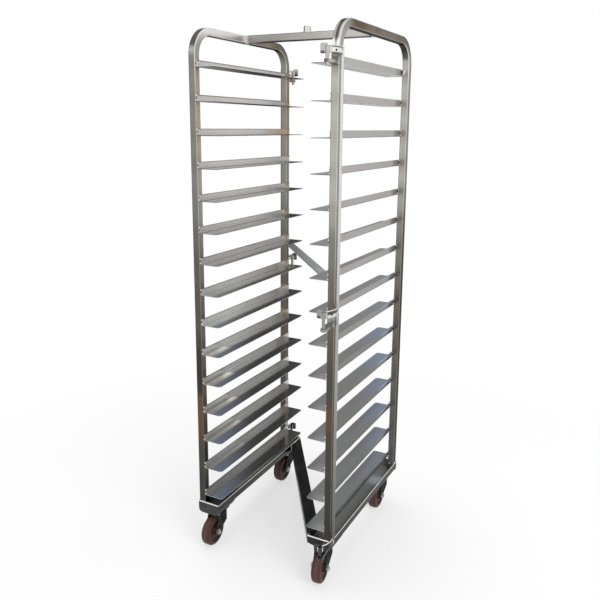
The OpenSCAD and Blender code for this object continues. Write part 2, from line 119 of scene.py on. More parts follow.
class RackFinish(bpy.types.PropertyGroup):
    """Colours of the rack's surfaces."""

    # The low colours of steel, sheet, gates and rods are painted shade: the finishes darken their steel
    # towards the floor.
    steel_high: colour("Steel, top", "Stainless tube near the top of the rack", (0.5, 0.485, 0.45))
    steel_low: colour("Steel, foot", "Tube near the base, dulled by heat and grease", (0.085, 0.083, 0.079))
    heat_tint: colour("Heat tint", "Brown bloom that heat and welding leave", (0.19, 0.135, 0.085))
    sheet_high: colour("Sheet, top", "Rolled sheet of the upper runners", (0.47, 0.46, 0.435))
    sheet_low: colour("Sheet, foot", "Rolled sheet of the lower runners", (0.05, 0.05, 0.049))
    # The light colour of the legs' inner faces is painted light.
    sheet_inner: colour("Sheet, inner face", "Upright legs, rubbed clean by the pans", (0.62, 0.61, 0.585))
    shelf_high: colour("Shelf, top", "Flat legs of the upper runners", (0.41, 0.41, 0.4))
    shelf_low: colour("Shelf, foot", "Flat legs of the lower runners", (0.43, 0.437, 0.437))
    # The blue on the lower flat legs' ends is a painted reflection of the sky.
    shelf_sky_reflection: colour("Shelf, blue", "Blued ends of the lower flat legs", (0.43, 0.54, 0.78))
    gate_high: colour("Gate, top", "Arms and brackets near the top", (0.52, 0.515, 0.49))
    gate_low: colour("Gate, foot", "Arms and brackets near the base", (0.05, 0.05, 0.048))
    rod_low: colour("Rod, foot", "Drawn rods near the base", (0.135, 0.135, 0.128))
    rod_high: colour("Rod, top", "Drawn rods near the top", (0.74, 0.735, 0.71))
    brace: colour("Brace", "Brushed flat of the mid brace", (0.44, 0.46, 0.46))
    tray: colour("Tray", "Sheet of the base trays and pads", (0.09, 0.09, 0.085))
    diagonal: colour("Diagonal", "Dark scale on the diagonal base member", (0.05, 0.05, 0.053))
    # The tray floor's light colour is painted light in the shaded insides of the trays.
    painted_light_tray_floor: colour("Tray floor", "Insides of the base trays, wiped clean", (0.27, 0.27, 0.255))
    # The polished colour is also laid on the tube and the arms as painted highlights.
    polished: colour("Polished edge", "Ground rims, gate arms and weld beads", (0.86, 0.85, 0.83))
    caster_steel: colour("Caster steel", "Dark plating of forks and top plates", (0.05, 0.05, 0.051))
    zinc: colour("Zinc", "Bright plating of bolts and nuts", (0.66, 0.65, 0.64))
    wheel: colour("Wheel", "Moulded resin of the wheels", (0.06, 0.021, 0.015))
    wheel_worn: colour("Worn tread", "Floor dust rubbed into the tread", (0.095, 0.056, 0.046))


class RackWelds(bpy.types.PropertyGroup):
    """Sizes of the weld beads and rims."""

    runner_bead: length("Runner bead", "Radius of the beads that hold the runners", 0.0026)
    frame_bead: length("Frame bead", "Radius of the beads on the frame and base", 0.0028)
    gate_bead: length("Gate bead", "Radius of the beads on the gates", 0.0018)
    ripple: length("Ripple length", "Distance from one ripple of a bead to the next", 0.0034)
    rim: length("Rim", "Radius of the rounded tray rims", 0.0018)
    arm_edge: length("Arm edge", "Radius of the rounded edges of the gate arms", 0.0026)
    seed: IntProperty(name="Seed", description="Seed of the uneven bead widths", default=7)


class RackHardware(bpy.types.PropertyGroup):
    """Sizes of the caster hardware and screws."""

    nut_flats: length("Nut", "Width across the flats of the axle nuts", 0.0165)
    washer_d: length("Washer", "Diameter of the washers under the axle nuts", 0.02)
    axle_d: length("Axle", "Diameter of the axle bolts", 0.0098)
    thread_pitch: length("Thread pitch", "Distance from one thread crest to the next", 0.0015)
    screw_d: length("Screw", "Diameter of the screw heads in the gate arms", 0.0065)


class RackStage(bpy.types.PropertyGroup):
    """Light and floor."""

    ambient: number("Ambient", "Strength of the even light from all round", 0.55)
    key_power: number("Key lamp", "Power of the large lamp at the right", 120.0, "POWER")
    top_power: number("Top lamp", "Power of the lamp above the rack", 90.0, "POWER")
    card_dark: number("Left card", "Tone at the left, mirrored by rods and pins", 0.1)
    card_pale: number("Pale card", "Tone behind the rack, mirrored by the right flat legs", 0.4)
    card_grey: number("Grey card", "Tone behind and to the right, mirrored by upright legs", 0.29)
    card_bright: number("Bright card", "Cards in front and right, mirrored by round corners", 1.15)
    card_bar: number("Bright bar", "Bar high at the front left, mirrored by the bends", 2.2)
    floor: colour("Floor", "Colour of the floor", (0.82, 0.82, 0.82))


def operation(name, turned=False):
    """Method that adds a Math node to a value's graph."""

    def method(self, other=0.0):
        pair = (other, self) if turned else (self, other)
        return self.graph.node("ShaderNodeMath", {"operation": name}, dict(enumerate(pair)))

    return method


class Value:
    """Output socket of a node. Arithmetic on it adds nodes."""

    __add__ = __radd__ = operation("ADD")
    __sub__ = operation("SUBTRACT")
    __rsub__ = operation("SUBTRACT", True)
    __mul__ = __rmul__ = operation("MULTIPLY")
    __truediv__ = operation("DIVIDE")
    __pow__ = operation("POWER")
    __abs__ = operation("ABSOLUTE")
    sine = operation("SINE")
    fraction = operation("FRACT")

    def __init__(self, graph, socket):
        self.graph = graph
        self.socket = socket

    def __neg__(self):
        return self * -1.0

    def up(self, low, high):
        """0 where the value is low, 1 where it is high, clamped between."""
        return self.graph.node("ShaderNodeMapRange", {"clamp": True}, {0: self, 1: low, 2: high})

    def down(self, low, high):
        """1 where the value is low, 0 where it is high, clamped between."""
        return self.up(high, low)

    def band(self, low, rise, fall, high):
        """1 from rise to fall, 0 below low and above high."""
        return self.up(low, rise) * self.down(fall, high)

    def steps(self, *stops):
        """Value mapped through stops of (place, grey)."""
        return self.graph.node("ShaderNodeValToRGB", {"stops": stops}, {0: self})


def set_stops(elements, stops):
    """Gives a ramp its stops of (place, grey)."""
    while len(elements) < len(stops):
        elements.new(1.0)
    for element, (place, grey) in zip(elements, stops):
        element.position = place
        element.color = (grey, grey, grey, 1.0)


class Graph:
    """Nodes of one tree."""

    def __init__(self, tree):
        self.tree = tree
        tree.nodes.clear()

    def node(self, kind, settings=None, inputs=None, output=0):
        """Adds a node: its settings first, then the values or links of its sockets."""
        made = self.tree.nodes.new(kind)
        for key, value in (settings or {}).items():
            if key == "stops":
                set_stops(made.color_ramp.elements, value)
            else:
                setattr(made, key, value)
        for key, value in (inputs or {}).items():
            if isinstance(value, Value):
                self.tree.links.new(value.socket, made.inputs[key])
            else:
                made.inputs[key].default_value = value
        return Value(self, made.outputs[output]) if made.outputs else made

    def parts(self, vector):
        """X, Y and Z of a vector."""
        outputs = self.node("ShaderNodeSeparateXYZ", inputs={0: vector}).socket.node.outputs
        return [Value(self, outputs[i]) for i in range(3)]

    def vector(self, kind, *vectors, output=0):
        """Vector sum or product. A single number comes out at output 1."""
        inputs = dict(enumerate(vectors))
        return self.node("ShaderNodeVectorMath", {"operation": kind}, inputs, output)


class Finish(Graph):
    """Material whose colour is built up tint over tint."""

    def __init__(self, name, start=None):
        self.material = bpy.data.materials.new(name)
        self.material.use_nodes = True
        super().__init__(self.material.node_tree)
        self.colour = start

    @cached_property
    def place(self):
        """Point on the object, in metres."""
        return self.node("ShaderNodeTexCoord", output="Object")

    @cached_property
    def axes(self):
        """X, Y and Z of the point."""
        return self.parts(self.place)

    @cached_property
    def facing(self):
        """X, Y and Z of the surface's normal."""
        return self.parts(self.node("ShaderNodeNewGeometry", output="True Normal"))

    @cached_property
    def left(self):
        """1 on the left half of the rack."""
        return self.axes[0].down(-0.1, 0.1)

    def noise(self, scale, detail=3.0, rough=0.55):
        """Grey noise from 0 to 1. Three scales draw it out along an axis."""
        place = self.place
        if isinstance(scale, tuple):
            place, scale = self.vector("MULTIPLY", place, scale), 1.0
        values = {"Vector": place, "Scale": scale, "Detail": detail, "Roughness": rough}
        return self.node("ShaderNodeTexNoise", inputs=values)

    def tone(self, first, second, share):
        """Colour between two colours."""
        inputs = {0: share, 6: opaque(first), 7: opaque(second)}
        return self.node("ShaderNodeMix", {"data_type": "RGBA"}, inputs, 2)

    def tint(self, over, share):
        """Lays a colour over the finish."""
        self.colour = self.tone(self.colour, over, share)

    def by_height(self, low, high, heights, shares, cloud=0.12):
        """Colour between low and high, by shares at heights in metres, with soft clouds."""
        level = (self.axes[2] + cloud * (self.noise(2.3) - 0.5)) / FRAME_TOP
        stops = zip((height / FRAME_TOP for height in heights), shares)
        return self.tone(low, high, level.steps(*stops))

    def smudged(self, base, spread):
        """Roughness with soft wiped patches."""
        streaks = self.noise((60.0, 6.0, 60.0), 2.0)
        return base + spread * (self.noise(9.0, 4.0) * 0.7 + streaks * 0.3 - 0.5)

    def close(self, rough, height, strength, distance=0.0004, **more):
        """Steel shader with bump from a height. Underscores in names stand for spaces."""
        bump = {"Height": height, "Strength": strength, "Distance": distance}
        normal = self.node("ShaderNodeBump", inputs=bump, output="Normal")
        values = {"Base Color": self.colour, "Metallic": 1.0, "Roughness": rough, "Normal": normal}
        values.update({key.replace("_", " "): value for key, value in more.items()})
        return self.show(self.node("ShaderNodeBsdfPrincipled", inputs=values))

    def show(self, shader):
        """Ends the material with a shader."""
        self.node("ShaderNodeOutputMaterial", inputs={"Surface": shader})
        return self.material


def opaque(rgb):
    """Colour with an alpha, or a link as it is."""
    return rgb if isinstance(rgb, Value) else (*rgb, 1.0)


# In the finishes below, limits on x, y and z are metres in the shared frame, limits on nx, ny and nz
# are parts of a unit normal, and the factor before a mask is the share of its colour.


def weld_bloom(z, reach):
    """1 beside the runner welds on the posts, fading over reach."""
    turns = (z - (TIER_Z[-1] + RUNNER_LEG / 2)) / TIER_PITCH + 0.5
    return (abs(turns.fraction() - 0.5) * TIER_PITCH).down(0.006, reach)


def post_finish(colours):
    """Square tube: drawn grain and brown heat tint, with painted shade towards the floor, on the front and
    back faces and on the undersides, and painted highlights along the corners and bends.
    """
    tube = Finish("heat_tinted_tube")
    tint = tube.tint
    x, y, z = tube.axes
    nx, ny, nz = tube.facing
    heights = (0.15, 0.35, 0.6, 0.85, 1.05, 1.25, 1.5)
    shares = (0.0, 0.05, 0.2, 0.28, 0.5, 0.92, 1.0)
    # Painted shade: the tube darkens towards the floor.
    tube.colour = tube.by_height(colours.steel_low, colours.steel_high, heights, shares)
    left, back = tube.left, y.up(0.0, 0.06)
    right, fore = 1 - left, 1 - back
    across, outward = abs(ny).up(0.55, 0.9), nx.up(*SQUARE_ON)
    patch = tube.noise(5.5, 4.0).up(0.36, 0.66)
    warm = 0.75 * z.band(0.25, 0.6, 0.85, 1.2)
    tint(colours.heat_tint, warm * (0.35 + 0.65 * patch) * (1 - 0.6 * left * back))
    tint(colours.heat_tint, 0.28 * weld_bloom(z, 0.045) * patch)
    # Painted shade on the faces towards the front and back, most on the left posts.
    shaded = (0.62 - 0.32 * z.up(0.72, 0.85)) * z.down(1.14, 1.21)
    tint((0.03, 0.03, 0.028), across * (0.52 * left + right * fore * shaded))
    rust = left * z.band(0.36, 0.44, 0.545, 0.56) + right * z.band(0.52, 0.545, 0.605, 0.63)
    tint((0.15, 0.085, 0.052), 0.75 * across * fore * rust)
    murk = left * z.band(0.55, 0.57, 0.68, 0.8)
    tint((0.012, 0.013, 0.013), 0.55 * across * fore * murk)
    outside, inside = outward * right * back, outward * left * back
    tint((0.13, 0.122, 0.095), 0.85 * outside * z.down(1.0, 1.25))
    # Painted light: the lower front and back faces of the right rear post are lighter and less metallic.
    foot = across * right * back * z.down(0.15, 0.8)
    tint((0.2, 0.2, 0.18), 0.8 * foot)
    spots = weld_bloom(z, 0.02) * tube.noise(6.0, 2.0).up(0.42, 0.58)
    tint(STRAW, 0.7 * spots * left * back * z.band(0.6, 0.7, 1.45, 1.5))
    tint(colours.heat_tint, inside * (0.2 + 0.25 * patch))
    stripe = outward * left * z.band(1.2, 1.5, 1.62, 1.68)
    tint((0.5, 0.355, 0.245), 0.6 * stripe)
    # Painted highlight on the inner faces of the left rear post near the floor.
    tint(colours.polished, 0.45 * inside * z.down(0.25, 0.5))
    # Heat tint together with a painted shadow of the top bracket on the front right post.
    below = z.band(1.585, 1.625, 1.655, 1.665) * right * fore
    tint(colours.heat_tint, 0.75 * below * across)
    top = z.up(1.69, 1.735)
    rail = top * abs(x).up(0.22, 0.235) * (1 - left * fore) * y.up(-0.24, -0.2)
    tint(colours.heat_tint, rail * (0.5 + 0.4 * patch))
    # Painted shade on the tube's undersides, strongest on the side frames.
    sides = abs(x).up(0.215, 0.23)
    tint((0.035, 0.033, 0.03), (0.25 + 0.5 * sides) * (-nz).up(0.25, 0.75))
    # Painted highlight on the top of the left side frame at the front.
    tint(colours.polished, top * left * fore * (0.1 + 0.9 * sides))
    # Painted highlight and painted shade in streaks along the front bend of the right side frame.
    bend = z.up(1.665, 1.69) * right * y.down(-0.24, -0.2) * (nx * nx).down(0.2, 0.5)
    streak = abs(x - (POST_IN + POST_OUT) / 2).up(0.0025, 0.0065)
    tint(colours.polished, 0.9 * bend * streak)
    tint((0.06, 0.06, 0.055), 0.75 * bend * (1 - streak))
    # Painted highlight along the rounded corners of the tube.
    corner = (nx * nx * (1 - nx * nx)).up(0.04, 0.16) * (0.2 + 0.4 * z.up(0.5, 1.3))
    tint(colours.polished, corner * (1 - 0.85 * (left + right * back) * z.down(1.55, 1.65)))
    grain = tube.noise((900.0, 900.0, 14.0), 2.0)
    tint((0.05, 0.048, 0.045), 0.07 * grain)
    rough = tube.smudged(0.22, 0.16) + 0.08 * grain
    return tube.close(rough, grain, 0.05, Metallic=1 - 0.6 * foot, Specular_Tint=TUBE_EDGE)


def leg_colour(sheet, colours, rise, painted_dim):
    """Inner faces of the runners' upright legs: painted light that makes them lighter than the rest and
    darker towards the floor, a painted sheen, painted shade where they face the bright strip on the flat
    legs, and burnt lips and spots.
    """
    _, y, z = sheet.axes
    tone, left = sheet.tone, sheet.left
    # Painted light and shade: the inner faces are lighter than the rest of the sheet and darken towards the
    # floor.
    level = z.steps((0.15, 0.6), (0.22, 0.72), (0.3, 0.88), (0.4, 1.0))
    inner = tone((0.0, 0.0, 0.0), colours.sheet_inner, level)
    # Painted sheen: a near white patch on the middle legs towards the front.
    sheen = z.band(0.42, 0.8, 0.86, 1.0) * y.down(-0.15, 0.08)
    inner = tone(inner, (0.98, 0.97, 0.94), 0.8 * sheen)
    # Painted shade on the legs where they face the bright strip painted on the flat legs.
    inner = tone(inner, (0.4, 0.395, 0.38), 0.85 * painted_dim)
    lip = rise.up(RUNNER_LEG - 0.0035, RUNNER_LEG - 0.0005)
    inner = tone(inner, colours.heat_tint, lip * (0.55 + 0.3 * z.up(1.48, 1.5)))
    third = left * y.up(0.08, 0.24) * abs(z - TIER_Z[2]).down(0.03, 0.04)
    inner = tone(inner, (0.56, 0.37, 0.2), 0.65 * third)
    spots = sheet.noise(7.0).up(0.5, 0.62) * y.up(0.08, 0.27) * left
    inner = tone(inner, (0.3, 0.17, 0.09), 0.55 * spots)
    burnt = left * y.up(0.255, 0.265) * rise.up(0.006, 0.01) * z.up(0.75, 0.85)
    return tone(inner, STRAW, 0.75 * burnt * sheet.noise(5.0, 2.0).up(0.4, 0.52))


def shelf_colour(sheet, colours, band, short):
    """Flat legs of the runners: a painted reflection of blue sky towards two corners, a painted reflection
    where the lower left ones catch light, and painted light and shade on the right ones.
    """
    x, y, z = sheet.axes
    tone, left, right = sheet.tone, sheet.left, 1 - sheet.left
    heights, shares = (0.15, 0.75, 1.25), (0.0, 0.25, 1.0)
    shelf = sheet.by_height(colours.shelf_low, colours.shelf_high, heights, shares)
    # Painted reflection of a blue sky on the flat legs, towards the front left and rear right corners.
    painted_sky = (x * y).up(0.012, 0.045) * z.down(0.65, 0.95)
    painted_sky = painted_sky * (1 - 0.6 * right * z.down(0.2, 0.55)) * (1 - left * x.down(-0.215, -0.195))
    shelf = tone(shelf, colours.shelf_sky_reflection, painted_sky * (1 - 0.35 * left))
    shelf = tone(shelf, (0.1, 0.11, 0.14), 0.12 * painted_sky * left)
    # Painted reflection: a bright strip beside the upright leg, wider with height
    root = band * (x - (0.044 * z - 0.2186)).down(-0.004, 0.004) * x.up(-0.225, -0.218)
    bright = root * short.up(-0.006, 0.006) * (1 - 0.45 * short.up(0.05, 0.14))
    shelf = tone(shelf, (1.0, 0.98, 0.93), bright)
    # Painted light: the front ends of the lower right flat legs are lighter.
    corner = right * y.down(-0.275, -0.235) * x.up(0.172, 0.205)
    shelf = tone(shelf, (0.63, 0.64, 0.63), corner * z.down(0.85, 1.0))
    # Painted shade on the inner rear part of the lower right flat legs.
    painted_shade_rear = right * x.down(0.175, 0.2) * y.up(-0.1, 0.05)
    return tone(shelf, (0.15, 0.15, 0.15), 0.25 * painted_shade_rear * z.down(0.4, 0.6))


def sheet_finish(colours):
    """Rolled sheet of the runners: nearly mirror smooth, with grain along Y, darker towards the floor as
    painted shade, and with painted light and shade on legs, flat legs, cut edges and undersides.
    """
    sheet = Finish("rolled_sheet")
    tint = sheet.tint
    x, y, z = sheet.axes
    nx, ny, nz = sheet.facing
    heights = (0.15, 0.4, 0.61, 0.82, 0.95, 1.23, 1.65)
    shares = (0.0, 0.06, 0.22, 0.52, 0.78, 0.86, 1.0)
    # Painted shade: the sheet darkens towards the floor.
    sheet.colour = sheet.by_height(colours.sheet_low, colours.sheet_high, heights, shares)
    left, right = sheet.left, 1 - sheet.left
    flat, under = abs(nz).up(*SQUARE_ON), (-nz).up(*SQUARE_ON)
    inward = (-nx * x).up(0.05, 0.18)
    rise = ((z - TIER_Z[-1] + 0.001) / TIER_PITCH).fraction() * TIER_PITCH
    upper = rise.up(0.01, 0.014)
    # How far a point lies in front of a line that comes forward with height
    short = -0.27 * z + 0.003 - y
    band = left * z.band(0.2, 0.4, 0.66, 0.8)
    tint(leg_colour(sheet, colours, rise, band * short.up(0.0, 0.03)), inward)
    # Painted shade on the right runners' outer faces at middle heights.
    lower = right * (1 - inward) * z.band(0.23, 0.28, 0.62, 0.8)
    tint(PAINTED_SHADE, lower * (0.38 - 0.14 * upper))
    behind = upper * y.up(0.12, 0.21) * right * z.down(0.85, 1.1)
    tint((0.27, 0.32, 0.42), behind * (0.35 + 0.5 * z.up(0.25, 0.5)))
    tint(shelf_colour(sheet, colours, band, short), flat)
    # Painted shade on the rear ends of the upper left flat legs and under the top left runner.
    tail = left * z.up(1.04, 1.11) * y.up(0.17, 0.19)
    tint(PAINTED_SHADE, 0.92 * (flat * tail + left * under * z.up(1.56, 1.6)))
    # Painted light and shade on the cut edges: a painted highlight low down, painted shade high up.
    tip = abs(nx).up(0.5, 0.8) * abs(x).down(RUNNER_TIP + 0.0005, RUNNER_TIP + 0.002)
    edge = sheet.tone((0.48, 0.475, 0.46), (0.035, 0.036, 0.036), z.up(0.95, 1.35))
    tint(edge, tip)
    tint(edge, abs(ny).up(0.4, 0.6))
    # Painted light: the undersides of the top right runners are white and not metallic.
    pale = under * right * z.up(1.45, 1.52)
    tint((0.98, 0.98, 0.98), pale)
    grain = sheet.noise(ROLLED, 2.0)
    tint((0.08, 0.08, 0.08), 0.06 * grain)
    wipes = sheet.noise((16.0, 5.0, 16.0), 5.0)
    tint((0.6, 0.62, 0.66), 0.08 * wipes.up(0.52, 0.72))
    dull = 0.35 * (z.down(0.45, 0.8) + behind)
    metal = 1 - pale - (1 - flat) * (1 - inward) * dull
    rough = sheet.smudged(0.25, 0.1) + 0.04 * grain - 0.12 * flat
    return sheet.close(rough, grain, 0.03, 0.0003, Metallic=metal)


def base_finish(name, first, second, floor=None, metal=1.0):
    """Scuffed sheet of the base and the brace. Given a floor colour, it adds painted light on the trays'
    floors and the right rear end plate, a painted reflection on the right tray's floor, and painted shade
    on the right tray and the left tray's floor.
    """
    sheet = Finish(name, first)
    scuffs = sheet.noise((30.0, 9.0, 30.0), 5.0, 0.62)
    sheet.tint(second, scuffs.up(0.3, 0.7))
    if floor is not None:
        x, y, _ = sheet.axes
        _, ny, nz = sheet.facing
        flat = nz.up(*SQUARE_ON)
        # Painted shade on the right tray, most on its outer side.
        sheet.tint((0.012, 0.012, 0.012), 0.7 * x.up(0.1, 0.22))
        # Painted shade on the left tray's floor, which stays at its front end.
        sheet.tint((0.01, 0.011, 0.022), 0.9 * flat * sheet.left)
        # Painted light: the trays' upward faces are lighter, except at their front ends.
        sheet.tint(floor, flat * (y - 0.1 * sheet.left).up(-0.275, -0.215))
        # Painted reflection: a pale blue patch on the right tray's floor.
        blue = abs(y - 0.17).down(0.015, 0.045) * x.up(TRAY_IN, TRAY_OUT)
        sheet.tint((0.8, 0.88, 1.0), flat * blue)
        # Painted light on the inside of the right tray's rear end plate.
        plate = (-ny).up(*SQUARE_ON) * y.up(0.25, 0.28) * x.up(0.1, 0.2)
        sheet.tint((0.4, 0.39, 0.35), plate)
        metal = 1 - 0.75 * (flat + plate)
    grain = sheet.noise(ROLLED, 2.0)
    rough = sheet.smudged(0.3, 0.22) + 0.06 * grain
    return sheet.close(rough, grain + 0.4 * scuffs, 0.1, Metallic=metal, Specular_Tint=SHEET_EDGE)


def gate_finish(name, low, high, scorch=0.0):
    """Cold drawn steel of the gates and brackets, darker towards the floor as painted shade, scorched at
    the top.
    """
    steel = Finish(name)
    steel.colour = steel.by_height(low, high, GATE_HEIGHTS, (0.0, 0.3, 0.55, 0.85, 1.0), 0.05)
    plate = abs(steel.facing[1]).up(*SQUARE_ON) * steel.axes[2].up(1.5, 1.6)
    steel.tint((0.13, 0.1, 0.08), scorch * plate)
    mottle = steel.noise(130.0)
    steel.tint((0.1, 0.095, 0.085), 0.3 * mottle)
    grain = steel.noise((900.0, 900.0, 20.0), 2.0)
    return steel.close(0.14 + 0.12 * mottle + 0.08 * grain, grain, 0.1)


def arm_finish(colours):
    """Ground strip of the gate arms: a painted highlight across the middle and painted shade where its
    edges roll away, darker towards the floor.
    """
    steel = Finish("arm_steel")
    x, y, z = steel.axes
    shares = (0.0, 0.3, 0.55, 0.75, 1.0)
    # Painted shade: the arms darken towards the floor.
    steel.colour = steel.by_height(colours.gate_low, colours.gate_high, GATE_HEIGHTS, shares, 0.02)
    strip = abs(y).down(-HINGE.y - 0.01, -HINGE.y - 0.007)
    plate = abs(x).down(HINGE.x - 0.0085, HINGE.x - 0.007)
    # Painted shade by height within each arm's strip, then a share of painted highlight for each arm.
    rolled = (
        ((0.0, 0.75), (0.28, 1.0), (0.42, 0.15), (0.56, 1.0), (0.98, 1.0)),
        ((0.0, 0.0), (0.44, 0.0), (0.56, 1.0), (0.95, 1.0), (0.98, 0.6)),
        ((0.0, 1.0), (0.2, 0.9), (0.27, 0.0), (0.8, 0.0), (0.88, 1.0)),
    )
    for (low, high), dark, light in zip(arm_spans(), rolled, (0.0, 0.75, 1.0)):
        near = strip * z.band(low - 0.004, low - 0.002, high + 0.002, high + 0.004)
        steel.tint(colours.polished, light * near)
        steel.tint((0.018, 0.022, 0.022), 0.92 * near * z.up(low, high).steps(*dark))
        # Painted shade at the foot of each thumb plate.
        foot = z.band(low - 0.002, low - 0.001, low + 0.004, low + 0.009)
        steel.tint((0.018, 0.022, 0.024), 0.9 * plate * foot)
    mottle = steel.noise(130.0)
    steel.tint((0.16, 0.155, 0.145), 0.22 * mottle)
    return steel.close(0.16 + 0.14 * mottle, mottle, 0.08)


def shade_rim(steel):
    """Painted shade on the front end of the right tray's inner rim."""
    x, y, z = steel.axes
    front = y.band(0.006 - TRAY_END, 0.01 - TRAY_END, -0.24, -0.2)
    inner = x.band(0.1, 0.12, TRAY_IN + 0.004, TRAY_IN + 0.01)
    steel.tint(PAINTED_SHADE, 0.95 * inner * front * z.down(0.165, 0.175))


def polished_finish(colours):
    """Ground and polished steel of rims and arm edges."""
    steel = Finish("ground_steel", colours.polished)
    mottle = steel.noise(130.0)
    steel.tint((0.42, 0.4, 0.36), 0.3 * mottle)
    shade_rim(steel)
    return steel.close(0.16 + 0.16 * mottle, mottle, 0.1)


def bead_finish(colours):
    """Weld bead: bright crests, straw tint in the hollows."""
    steel = Finish("weld_bead", colours.polished)
    scale = steel.noise(420.0)
    steel.tint((0.36, 0.3, 0.22), steel.noise(60.0, 2.0).up(0.45, 0.75))
    shade_rim(steel)
    return steel.close(0.18 + 0.25 * scale, scale, 0.25, 0.0006)


def fork_finish(colours):
    """Dark plated caster steel, rubbed brighter in patches."""
    steel = Finish("dark_plating", colours.caster_steel)
    dirt = steel.noise(38.0, 5.0, 0.62)
    steel.tint((0.016, 0.016, 0.016), dirt.up(0.35, 0.6))
    steel.tint((0.26, 0.255, 0.245), 0.18 * steel.noise(90.0, 4.0).up(0.55, 0.72))
    rough = 0.36 + 0.22 * dirt
    return steel.close(rough, dirt, 0.15, 0.0006, Metallic=0.8, Specular_Tint=TUBE_EDGE)


def zinc_finish(colours):
    """Bright plated bolts and nuts, dulled in patches, with painted shade on their undersides."""
    steel = Finish("zinc_plating", colours.zinc)
    spangle = steel.noise(260.0)
    grime = steel.noise(110.0, 4.0).up(0.5, 0.75)
    steel.tint((0.4, 0.38, 0.35), spangle)
    steel.tint((0.11, 0.1, 0.09), 0.5 * grime)
    # Painted shade on the downward faces.
    steel.tint(PAINTED_SHADE, 0.85 * (-steel.facing[2]).up(0.1, 0.6))
    return steel.close(0.2 + 0.2 * spangle + 0.15 * grime, spangle, 0.1, 0.0003)


def wheel_finish(colours, corner):
    """Moulded resin wheel: mottled filler, dusty tread, painted shade in the recesses."""
    resin = Finish(f"{corner}_resin", colours.wheel)
    joint = JOINTS[f"{corner}_roll"]
    local = resin.vector("SUBTRACT", resin.place, tuple(joint["pos_m"]))
    across = resin.vector("DOT_PRODUCT", local, tuple(joint["axis"]), output=1)
    reach = resin.vector("LENGTH", local, output=1)
    radius = (reach * reach - across * across) ** 0.5
    filler, blotch = resin.noise(170.0, 5.0, 0.65), resin.noise(34.0)
    resin.tint((0.042, 0.016, 0.013), filler.up(0.38, 0.66))
    tread = radius.up(0.0455, 0.049) * abs(across).down(0.004, 0.012)
    resin.tint(colours.wheel_worn, tread * (0.45 + 0.5 * blotch))
    # Painted shade on the recessed sides of the wheel inside the tread.
    resin.tint((0.012, 0.008, 0.007), 0.85 * radius.down(0.034, 0.04))
    resin.tint((0.11, 0.032, 0.022), 0.8 * radius.down(0.015, 0.019))
    rough = 0.4 + 0.18 * blotch + 0.1 * tread
    return resin.close(rough, filler, 0.12, 0.0005, Metallic=0.0, Specular_IOR_Level=0.3)


def dress(material, *names):
    """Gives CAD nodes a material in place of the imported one."""
    for name in names:
        mesh = frame["nodes"][name].data
        mesh.materials.clear()
        mesh.materials.append(material)


def add_object(name, data):
    """New object at the origin."""
    made = bpy.data.objects.new(name, data)
    bpy.context.scene.collection.objects.link(made)
    return made


def place_piece(piece, body):
    """Makes a finished piece move with its body."""
    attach(piece, body)


def half_turn(points):
    """Points turned half round the rack's middle, from the front gate to the rear one."""
    return [(-x, -y, z) for x, y, z in points]


# What takes points on the front gate to each gate
GATES = {"front": list, "rear": half_turn}


class Tree(Graph):
    """Geometry Nodes tree with named inputs of given socket kinds."""

    def __init__(self, name, **kinds):
        super().__init__(bpy.data.node_groups.new(name, "GeometryNodeTree"))
        socket = self.tree.interface.new_socket
        socket("Geometry", in_out="OUTPUT", socket_type="NodeSocketGeometry")
        for label, kind in {"Geometry": "Geometry", **kinds}.items():
            socket(label, in_out="INPUT", socket_type=f"NodeSocket{kind}")
        self.entry = self.tree.nodes.new("NodeGroupInput")

    def given(self, name):
        """Value of a named input."""
        return Value(self, self.entry.outputs[name])

    def close(self, geometry):
        """Realizes, gives the material and ends the tree."""
        geometry = self.node("GeometryNodeRealizeInstances", inputs={0: geometry})
        inputs = {"Geometry": geometry, "Material": self.given("Finish")}
        geometry = self.node("GeometryNodeSetMaterial", inputs=inputs)
        self.node("NodeGroupOutput", inputs={0: geometry})
        return self.tree


def bead_tree():
    """Tree that sweeps a rippled round bead along every edge path."""
    sizes = dict.fromkeys(("Radius", "Ripple", "Step", "Taper"), "Float")
    tree = Tree("bead_along_path", **sizes, Seed="Int", Finish="Material")
    node, taper = tree.node, tree.given("Taper")
    curve = node("GeometryNodeMeshToCurve", inputs={0: tree.given("Geometry")})
    inputs = {"Curve": curve, "Length": tree.given("Step")}
    curve = node("GeometryNodeResampleCurve", {"mode": "LENGTH"}, inputs)
    turns = node("GeometryNodeInputIndex") * (math.pi / 2)
    wave = turns.sine() * tree.given("Ripple")
    inputs = {2: -0.08, 3: 0.08, "Seed": tree.given("Seed")}
    uneven = node("FunctionNodeRandomValue", {"data_type": "FLOAT"}, inputs, 1) * taper
    along = node("GeometryNodeSplineParameter", output="Factor")
    hump = (along * (1 - along) * 4.0) ** 0.4
    drop = (1 - hump) * taper * 0.55
    radius = (wave + uneven + 1.0 - drop) * tree.given("Radius")
    ring = node("GeometryNodeCurvePrimitiveCircle", inputs={"Resolution": 8, "Radius": 1.0})
    inputs = {"Curve": curve, "Profile Curve": ring, "Scale": radius, "Fill Caps": True}
    mesh = node("GeometryNodeCurveToMesh", inputs=inputs)
    return tree.close(node("GeometryNodeSetShadeSmooth", inputs={0: mesh}))


